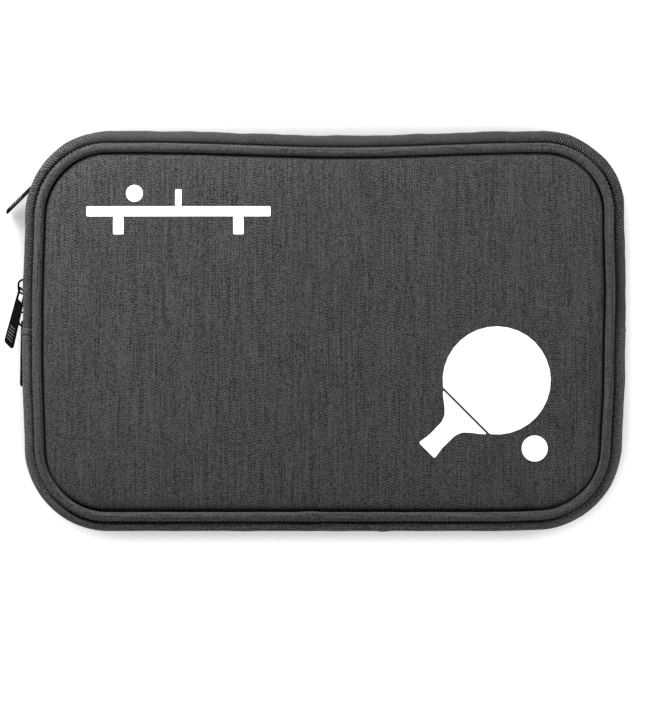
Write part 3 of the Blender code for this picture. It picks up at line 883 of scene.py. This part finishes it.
def groove_shade_strip(name, rows, reach, high):
    """A narrow near-black strip at the bottom of the groove beside the piping: painted shade in the groove.
    """
    low = high - 0.5 * MM
    near, far = reach - 0.8 * MM, reach + 0.8 * MM
    return sweep(name, rows, [(near, low), (far, low), (far, high), (near, high)], SHADOW_TAPE, True)


def build_piping(front_ring):
    flap_piece(
        piping("front_piping", front_ring, PIPING_REACH, PIPING_Z, CORD_RADIUS, 3),
        "front_piping_lower", "front_piping_upper", "front_piping_bend_left", "front_piping_bend_right",
    )
    low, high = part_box("rear_piping")
    rear_z = (low.z + high.z) / 2
    base_piece(piping("rear_piping_cord", front_ring, PIPING_REACH, rear_z, CORD_RADIUS, 8), "rear_piping")
    low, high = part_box("middle_piping")
    radius = (high.z - low.z) / 2
    reach = -low.x - CORNER_X - radius
    welt = piping("middle_welt", front_ring, reach, (low.z + high.z) / 2, radius * 0.98, 15)
    base_piece(welt, "middle_piping")
    # painted shade: near-black strips at the bottoms of the grooves on both sides of the front piping
    flap_piece(groove_shade_strip("inner_groove_shade", front_ring, PANEL_REACH + 0.2 * MM, 46.1 * MM))
    flap_piece(groove_shade_strip("outer_groove_shade", front_ring, PIPING_REACH + 2.2 * MM, 45.0 * MM))


def build_main_zip():
    """The tapes and coils of the zip that opens the front, from side to side over the top."""
    rows = over(TAPE_END_Y)
    section = wall([(0.1, 33.9), (0.05, 36.2), (0.2, 38.4), (1.3, 39.8), (2.8, 41.2), (3.4, 43.2),
                    (2.8, 45.4), (1.2, 46.8), (-0.5, 46.6), (-1.7, 45.2), (-2.1, 43.8)])
    ripple = cloth_ripple(21, 0.35 * MM, 40 * MM, 36 * MM, WALL_HEAD)
    tape = sweep("main_tape_front", rows, band(section, 0.6 * MM), TAPE, False, ripple)
    flap_piece(tape, "main_zip_front_tape", "main_zip_tape_bend_left", "main_zip_tape_bend_right")
    section = wall([(0.1, 32.9), (0.05, 30.6), (0.2, 28.4), (1.3, 26.9),
                    (2.5, 25.2), (2.7, 23.6), (1.5, 22.2), (-0.8, 21.6)])
    ripple = cloth_ripple(22, 0.3 * MM, 40 * MM, WALL_FOOT, 30 * MM)
    tape = sweep("main_tape_rear", rows, band(section, 0.6 * MM), TAPE, False, ripple)
    base_piece(tape, "main_zip_rear_tape")
    spiral = coil("main_coil_front", rows, WALL_REACH, MAIN_ZIP_Z, 1, 0.0)
    flap_piece(spiral, "main_zip_front_coil", "main_zip_coil_bend_left", "main_zip_coil_bend_right")
    base_piece(coil("main_coil_rear", rows, WALL_REACH, MAIN_ZIP_Z, -1, 0.5), "main_zip_rear_coil")


def build_rear_zip():
    rows = over(None, REAR_ZIP_END)
    sections = {
        "front": [(0.1, 11.5), (0.05, 13.6), (0.1, 15.4), (-0.2, 16.5), (-0.9, 17.0)],
        "rear": [(0.1, 10.5), (0.05, 8.8), (0.1, 7.4), (-0.2, 6.4), (-0.9, 5.8)],
    }
    for half, section in sections.items():
        profile = band(wall(section, REAR_WALL_REACH), 0.55 * MM)
        base_piece(sweep("rear_tape_" + half, rows, profile, TAPE), "rear_zip_" + half + "_tape")
    for half, side, phase in (("front", 1, 0.0), ("rear", -1, 0.5)):
        spiral = coil("rear_coil_" + half, rows, REAR_WALL_REACH, REAR_ZIP_Z, side, phase)
        base_piece(spiral, "rear_zip_" + half + "_coil")


GUSSET_SECTION = wall([(-2.1, 43.8), (-1.7, 45.2), (-0.5, 46.7), (1.2, 46.9), (2.9, 45.5), (3.7, 42.8),
                       (3.9, 38), (3.8, 33.5), (3.6, 29), (3.2, 25.4), (1.5, 22.4), (-0.8, 21.6)])


def build_gussets():
    """The cloth walls below the two zips, each from side to side round the bottom."""
    soft = cloth_ripple(31, 0.45 * MM, 36 * MM, WALL_FOOT, WALL_HEAD)

    def pucker(s, reach, height):
        out, up = soft(s, reach, height)
        middle = belly(height, WALL_FOOT, WALL_HEAD)
        for place, size in ((6 * MM, 0.8 * MM), (30 * MM, 0.7 * MM), (-38 * MM, 0.35 * MM)):
            out = out + middle * size * np.exp(-((s - s.max() / 2 - place) / (4.5 * MM)) ** 2)
        return out, up

    rows = over(-2.0 * MM, flip=-1)
    cloth = sweep("main_gusset_cloth", rows, band(GUSSET_SECTION, 0.9 * MM), CLOTH_RING, False, pucker)
    base_piece(cloth, "main_gusset")

    stub = arc(1, 1, 0, REAR_ZIP_END * 0.97, 4)
    left = [(-x, y, -out_x, out_y) for x, y, out_x, out_y in stub]
    rows = tidy_rows(left[::-1] + [tuple(row) for row in over(-CORNER_Y, flip=-1)] + stub)
    section = [(-0.9, 17.0), (0.3, 16.6), (1.0, 14.4), (1.2, 11), (0.9, 8.0), (0.2, 6.5), (-0.9, 5.8)]
    profile = band(wall(section, REAR_WALL_REACH), 0.9 * MM)
    ripple = cloth_ripple(41, 0.35 * MM, 30 * MM, 4.5 * MM, 17 * MM)
    base_piece(sweep("rear_gusset_cloth", rows, profile, CLOTH_RING, False, ripple), "rear_gusset")


def build_lap_shade_lines():
    """Painted shade lines in the tucks where the zip tapes meet the gusset, in the gusset itself, and where
    the piping laps.
    """
    places = {"left": (-CORNER_X, -0.7 * MM, -1, 0), "right": (CORNER_X, 0.2 * MM, 1, 0),
              "gusset": (30 * MM, -CORNER_Y, 0, -1)}
    for word, row in places.items():
        base_piece(tuck_shade_tube("painted_shade_" + word, GUSSET_SECTION, row, 0.5 * MM, 0.34 * MM))
    radius = PIPING_RADIUS * 0.97
    turns = [math.radians(a) for a in range(200, -30, -20)]
    cord = [((PIPING_REACH + radius * math.cos(a)) / MM, (PIPING_Z + radius * math.sin(a)) / MM)
            for a in turns]
    base_piece(tuck_shade_tube("piping_lap_shade", cord, (-0.9 * MM, -CORNER_Y, 0, -1), 0.0, 0.2 * MM))


def build_stitches(front_ring):
    reach, z = WALL_REACH - 2.0 * MM, PIPING_Z - 0.3 * MM
    flap_piece(stitches("seam_front", front_ring, reach, z, 2.3 * MM, 1.5 * MM, 0.32 * MM, 5))
    for word, out, z in (("middle_front", -0.9, 21.9), ("middle_rear", -2.6, 16.9), ("rear", -2.8, 5.9)):
        reach = WALL_REACH + out * MM
        base_piece(stitches("seam_" + word, front_ring, reach, z * MM, 2.4 * MM, 1.6 * MM, 0.3 * MM, 6))


# ---- inside

def sewn_sheet(name, reach, nodes, on_flap=False):
    """A lining cut to a rounded rectangle and sewn in flat round its edge."""
    low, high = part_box(nodes[0])
    skirt = [(reach - 0.02 * MM, (low.z + high.z) / 2)]
    levels = [reach - 0.3 * MM, reach - 2 * MM, reach * 0.75, reach * 0.5, reach * 0.25, 0.0]
    sheet = pad_mesh(name, reach, skirt, levels, level(high.z), low.z, LINING)
    (flap_piece if on_flap else base_piece)(sheet, *nodes)


def build_inside():
    halves = ["front_lining_lower", "front_lining_upper"]
    sewn_sheet("front_lining_sheet", LINING_REACH, halves, True)
    sewn_sheet("rear_lining_sheet", LINING_REACH, ["rear_lining"])
    for side in ("rear", "front"):
        node = "divider_lining_" + side
        reach = -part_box(node)[0].x - CORNER_X
        sewn_sheet(node + "_sheet", reach, [node])
    board = frame["nodes"]["divider_board"].data
    board.materials.clear()
    board.materials.append(BOARD)

    low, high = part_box("mesh_pocket")
    net = grid_sheet("pocket_net", low, high, NET, lambda u, v: 0.5 * MM * np.sin(math.pi * u) * v)
    base_piece(net, "mesh_pocket")
    low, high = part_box("mesh_pocket_hem")
    hem = grid_sheet("pocket_hem", low, high, ELASTIC, lambda u, v: 0.15 * MM * np.sin(math.pi * u * 40))
    base_piece(hem, "mesh_pocket_hem")
    for node in ("main_zip_end_left", "main_zip_end_right", "rear_zip_end_left", "rear_zip_end_right"):
        base_piece(rounded_box(node + "_tab", *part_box(node), 0.35 * MM, ELASTIC), node)


def grid_sheet(name, low, high, material, lift):
    """A closed thin sheet between two corners, with its upper face lifted by lift(u, v)."""
    nx, ny = 100, 50
    u, v = np.meshgrid(np.linspace(0, 1, nx), np.linspace(0, 1, ny))
    x = low.x + (high.x - low.x) * u
    y = low.y + (high.y - low.y) * v
    top = np.stack([x, y, high.z + lift(u, v)], axis=2).reshape(-1, 3)
    base = np.stack([x, y, np.full_like(x, low.z)], axis=2).reshape(-1, 3)
    half = nx * ny
    faces = []
    for quad in grid_faces(nx, ny):
        faces += [quad, tuple(half + k for k in quad[::-1])]
    edge = [*range(nx)] + [j * nx + nx - 1 for j in range(1, ny)]
    edge += [(ny - 1) * nx + i for i in range(nx - 2, -1, -1)] + [j * nx for j in range(ny - 2, 0, -1)]
    faces += [(a, half + a, half + b, b) for a, b in zip(edge, edge[1:] + edge[:1])]
    return face_outward(new_object(name, np.vstack([top, base]), faces, material))


def rounded_box(name, low, high, radius, material, place=None):
    bm = bmesh.new()
    bmesh.ops.create_cube(bm, size=1)
    low, high = Vector(low), Vector(high)
    size = Matrix.LocRotScale((low + high) / 2, None, high - low)
    bmesh.ops.transform(bm, matrix=size, verts=bm.verts[:])
    bmesh.ops.bevel(bm, geom=bm.edges[:], offset=radius, segments=3, affect="EDGES", profile=0.5)
    if place is not None:
        bmesh.ops.transform(bm, matrix=place, verts=bm.verts[:])
    mesh = bpy.data.meshes.new(name)
    bm.to_mesh(mesh)
    bm.free()
    return add_object(name, mesh, material)


# ---- sliders and pulls

def plate(name, outline, edge, place, holes=()):
    """A flat metal plate with rounded edges, built in its own XY plane and then placed."""
    mesh = filled(name, [outline, *holes], extrude=PLATE_THICK / 2 - edge, bevel_depth=edge,
                  bevel_resolution=2, offset=-edge)
    mesh.transform(place)
    return face_outward(add_object(name, mesh, METAL, False), 1e-7)


def join(name, parts):
    bpy.ops.object.select_all(action="DESELECT")
    for part in parts:
        part.select_set(True)
    bpy.context.view_layer.objects.active = parts[0]
    bpy.ops.object.join()
    parts[0].name = name
    parts[0].data.name = name
    return parts[0]


def side_frame(y, z):
    matrix = Matrix(((0, 0, -1, 0), (0, 1, 0, 0), (1, 0, 0, 0), (0, 0, 0, 1)))
    matrix.translation = Vector((-(CORNER_X + WALL_REACH), y, z))
    return matrix


def corner_frame(angle, z):
    out = Vector((-math.cos(angle), math.sin(angle), 0))
    along = Vector((math.sin(angle), math.cos(angle), 0))
    matrix = Matrix((Vector((0, 0, 1)), along, out)).transposed().to_4x4()
    matrix.translation = Vector((-CORNER_X, CORNER_Y, z)) + out * REAR_WALL_REACH
    return matrix


def build_slider(name, place):
    """Slider in its own frame: X across the chain, Y along it, Z out of the tape."""
    half = [(2.3, -5.5), (3.5, -2.5), (4.2, 1.0), (4.2, 3.2), (2.6, 5.5)]
    shape = [(-2.3, -5.5)] + half + [(-x, y) for x, y in half[:0:-1]]
    shape = round_corners([(x * MM, y * MM) for x, y in shape], 0.8 * MM, 4)
    parts = []
    for word, level in (("outer", 2.65 * MM), ("inner", -2.0 * MM)):
        parts.append(plate(word, shape, 0.25 * MM, place @ Matrix.Translation((0, 0, level))))

    def block(word, low, high, radius, frame_of):
        low, high = Vector(low) * MM, Vector(high) * MM
        parts.append(rounded_box(word, low, high, radius * MM, METAL, frame_of))

    block("post", (-0.4, 1.6, -2.2), (0.4, 4.7, 2.6), 0.12, place)
    for near, far in ((-4.5, -3.75), (3.75, 4.5)):
        block("lip", (near, -1.0, 0.8), (far, 3.4, 3.0), 0.15, place)
    arch = [(0, -3.4, 2.7), (0, -3.55, 4.3), (0, -3.3, 5.8), (0, -2.5, 6.8), (0, -0.9, 7.25), (0, 0.9, 7.3),
            (0, 2.4, 7.0), (0, 3.3, 6.0), (0, 3.5, 4.6), (0, 3.4, 2.7)]
    path = np.array([place @ Vector(p) for p in curve_through(arch, 6) * MM])
    parts.append(tube_mesh("crown", path, 0.52 * MM, 12, METAL))
    for end in (-3.4, 3.4):
        foot = place @ Matrix.Translation((0, end * MM, 3.1 * MM))
        block("foot", (-0.95, -0.75, -0.2), (0.95, 0.75, 0.55), 0.25, foot)
    return join(name, parts)


def build_pull(name, place):
    """A flat pull: top bar, window, widening blade and a few cross grooves near its end."""
    left = [(-2.9, 0.45), (-4.0, -27.0), (-4.2, -31.4), (-3.1, -32.6)]
    outline = left + [(-x, y) for x, y in left[::-1]]
    outline = round_corners([(x * MM, y * MM) for x, y in outline], 0.5 * MM, 3)
    window = [(-2.1, -0.5), (2.1, -0.5), (2.1, -6.5), (-2.1, -6.5)]
    window = round_corners([(x * MM, y * MM) for x, y in window], 0.35 * MM, 3)
    parts = [plate("blade", outline, 0.18 * MM, place, [window])]
    for number in range(5):
        y = -21.8 - 1.8 * number
        half = 2.5 + 0.05 * number
        for z in (0.42, -0.42):
            low, high = Vector((-half, y - 0.32, z - 0.12)), Vector((half, y + 0.32, z + 0.12))
            parts.append(rounded_box("grip", low * MM, high * MM, 0.1 * MM, WORN, place))
    return join(name, parts)


def pull_matrix(place, outward, droop, twist):
    pin = place @ Matrix.Translation((0, -PIN_DOWN, PIN_OUT))
    lie = Matrix.Rotation(-math.radians(droop), 4, "Z") @ Matrix.Rotation(-math.radians(outward), 4, "X")
    return pin @ lie @ Matrix.Rotation(math.radians(twist), 4, "Y")


def build_hardware():
    places = {"rear": corner_frame(REAR_SLIDER_ANGLE, REAR_ZIP_Z)}
    for name in ("upper", "lower"):
        low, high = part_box("slider_" + name)
        places[name] = side_frame((low.y + high.y) / 2, MAIN_ZIP_Z)
    for name, hang in HANGS.items():
        slider = build_slider("zip_slider_" + name, places[name])
        pull = build_pull("zip_pull_" + name, pull_matrix(places[name], *hang))
        for made, node in ((slider, "slider_" + name), (pull, "pull_" + name)):
            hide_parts(node)
            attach(with_finish(made), node)


# ---- stage

def build_stage():
    scene = bpy.context.scene
    g = Graph("pale_floor")
    g.surface(rgb(0.12), 0.8, specular_ior_level=0.0)
    # the floor's own colour is dark and it glows white; an occlusion node dims the glow near the case, a
    # painted contact shadow round it
    g.shader.inputs["Emission Color"].default_value = rgb(1)
    g.link(g.ramp(g.openness(25 * MM, 16), 0.69, 0.85, 0.47, 0.98), g.shader.inputs["Emission Strength"])
    size = 3.0
    corners = [(-size, -size, 0), (size, -size, 0), (size, size, 0), (-size, size, 0)]
    floor = new_object("floor", corners, [(0, 1, 2, 3)], g.material)
    floor.location.z = -0.2 * MM

    world = bpy.data.worlds.new("studio")
    world.use_nodes = True
    sky = world.node_tree.nodes["Background"].inputs
    sky[0].default_value = rgb(1)
    sky[1].default_value = 0.22
    scene.world = world
    lamps = (
        ("left", (-0.33, 0.35, 0.28), 8.0, 0.22),
        ("right", (0.43, 0.2, 0.3), 2.9, 0.25),
        ("head", (0.05, 0.75, 0.9), 0.7, 0.5),
        ("foot", (0.0, -0.85, 0.3), 6.0, 0.5),
    )
    for name, place, energy, width in lamps:
        data = bpy.data.lights.new(name, "AREA")
        data.energy = energy
        data.size = width
        lamp = bpy.data.objects.new(name, data)
        lamp.location = place
        lamp.rotation_mode = "QUATERNION"
        lamp.rotation_quaternion = (Vector((0, 0, 0.03)) - Vector(place)).to_track_quat("-Z", "Y")
        scene.collection.objects.link(lamp)

    height, seen_height, seen_length, sensor = 1.15, 0.05, 0.352, 36
    data = bpy.data.cameras.new("camera")
    data.sensor_width = sensor
    data.lens = sensor * (height - seen_height) / seen_length
    data.clip_start = 0.05
    data.clip_end = 20
    camera = bpy.data.objects.new("camera", data)
    camera.location = (-0.001, -0.0108, height)
    scene.collection.objects.link(camera)
    scene.camera = camera
    scene.view_settings.view_transform = "Standard"


build_stage()
front_pad, rear_pad = build_pads()
build_prints(front_pad)
flap_piece(
    front_pad, "front_cover_lower", "front_cover_upper", "front_foam_lower", "front_foam_upper",
    "front_panel_bend",
)
base_piece(rear_pad, "rear_cover", "rear_foam")
front_ring = ring(-1 * MM)
build_piping(front_ring)
build_main_zip()
build_rear_zip()
build_gussets()
build_lap_shade_lines()
build_stitches(front_ring)
build_inside()
build_hardware()
